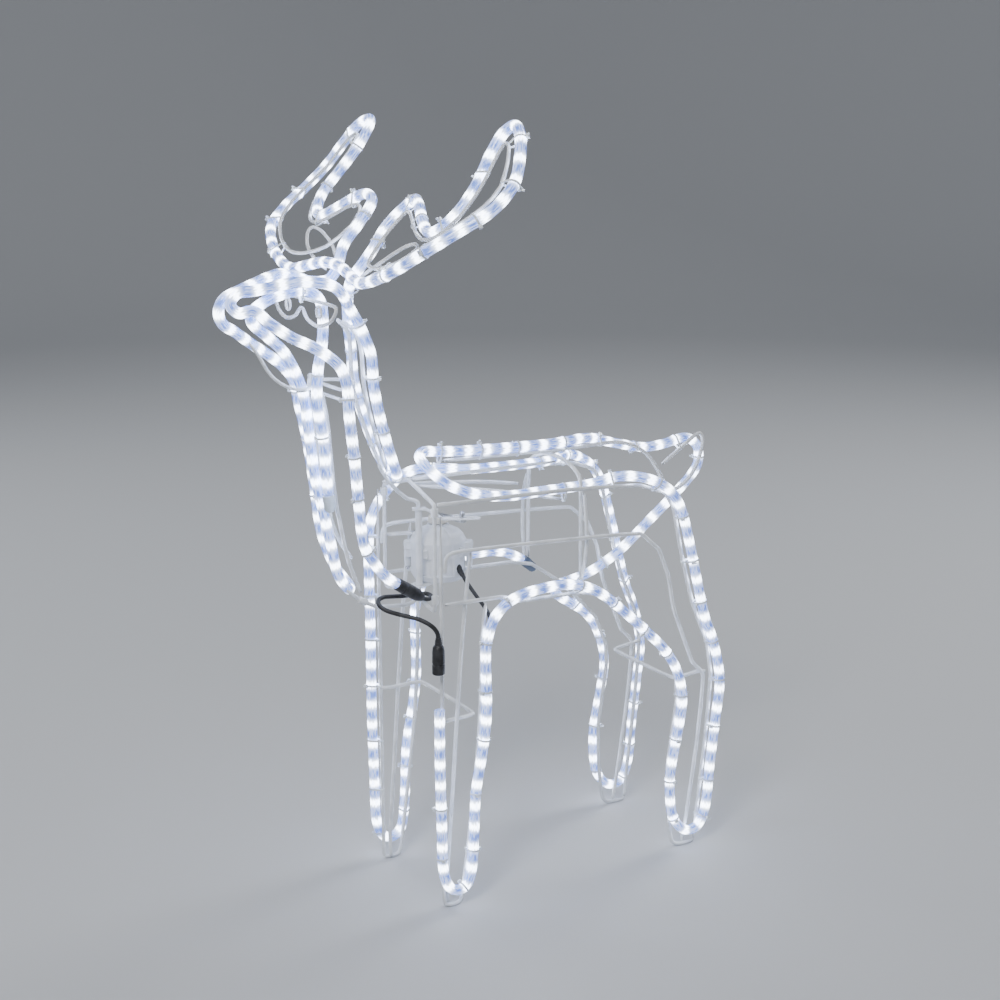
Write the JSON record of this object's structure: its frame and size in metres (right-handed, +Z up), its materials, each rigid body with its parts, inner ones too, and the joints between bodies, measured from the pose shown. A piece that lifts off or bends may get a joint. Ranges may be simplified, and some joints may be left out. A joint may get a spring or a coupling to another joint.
{
  "type": "light up yard reindeer",
  "caption": "Standing wire frame reindeer with clear LED rope light on its outlines and a gear motor that turns the head, neck and antlers from side to side.",
  "frame": {"origin": "centre of the bounding box at the ground under the feet", "axes": "+Z up, the animal faces -Y, +X is the animal's left side"},
  "size_m": [0.4916, 0.7034, 0.9804],
  "materials": {
    "white_wire": "white powder coat",
    "lit_rope": "clear rope light, lit cool white",
    "clear_cap": "clear moulded cap",
    "smoke_cap": "smoky moulded cap",
    "black_rubber": "matt black",
    "motor_housing": "white moulded",
    "cream_nylon": "natural nylon",
    "plated_steel": "zinc plated"
  },
  "bodies": {
    "frame": {"wire_front_leg_L": "white_wire", "wire_front_mid_L": "white_wire", "wire_inner_L": "white_wire", "wire_belly_L": "white_wire", "wire_back_L": "white_wire", "wire_rib_L": "white_wire", "hinge_sleeve_upper_L": "white_wire", "hinge_sleeve_lower_L": "white_wire", "flank_brace_L": "white_wire", "wire_front_leg_R": "white_wire", "wire_front_mid_R": "white_wire", "wire_inner_R": "white_wire", "wire_belly_R": "white_wire", "wire_back_R": "white_wire", "wire_rib_R": "white_wire", "hinge_sleeve_upper_R": "white_wire", "hinge_sleeve_lower_R": "white_wire", "flank_brace_R": "white_wire", "front_frame": "white_wire", "mid_hoop": "white_wire", "front_brace": "white_wire", "rear_brace": "white_wire", "spine_tail_wire": "white_wire", "spine_lower_wire": "white_wire", "motor_cover": "motor_housing", "motor_base": "motor_housing", "motor_can": "plated_steel", "motor_bar": "white_wire", "motor_plate": "white_wire", "pivot_post": "white_wire", "body_rope_light": "lit_rope", "body_rope_end_cap": "smoke_cap", "body_rope_sleeve": "black_rubber", "link_cable": "black_rubber", "motor_lead": "black_rubber", "lead_connector": "black_rubber"},
    "neck": {"neck_chest_wire_L": "white_wire", "neck_chest_wire_R": "white_wire", "neck_rear_wire_L": "white_wire", "neck_rear_wire_R": "white_wire", "ear_wire_L": "white_wire", "ear_wire_R": "white_wire", "neck_front_wire": "white_wire", "neck_pivot_wire": "white_wire", "neck_lower_wire": "white_wire", "throat_ring": "white_wire", "drive_lever": "white_wire", "eye_wire": "white_wire", "pupil_wire_L": "white_wire", "pupil_wire_R": "white_wire", "jaw_wire": "white_wire", "crown_wire": "white_wire", "antler_wire_L": "white_wire", "antler_wire_R": "white_wire", "neck_rope_light": "lit_rope", "neck_rope_end_cap": "clear_cap", "neck_rope_sleeve": "black_rubber"},
    "output": {"output_gear": "cream_nylon", "output_boss": "cream_nylon", "crank_arm": "plated_steel"}
  },
  "joints": [
    {"name": "neck_swing", "type": "hinge", "parent": "frame", "child": "neck", "pos_m": [0, -0.09516, 0.45], "axis": [0, 0, 1], "range_deg": [-12.5, 12.5], "deforming": ["link_cable"]},
    {"name": "output_turn", "type": "hinge", "parent": "frame", "child": "output", "pos_m": [-0.02, -0.05716, 0.46], "axis": [0, 0, 1], "range_deg": [-22.6, 22.6]}
  ],
  "couplings": [
    {"joint": "output_turn", "follows": "neck_swing", "ratio": 1.8}
  ]
}
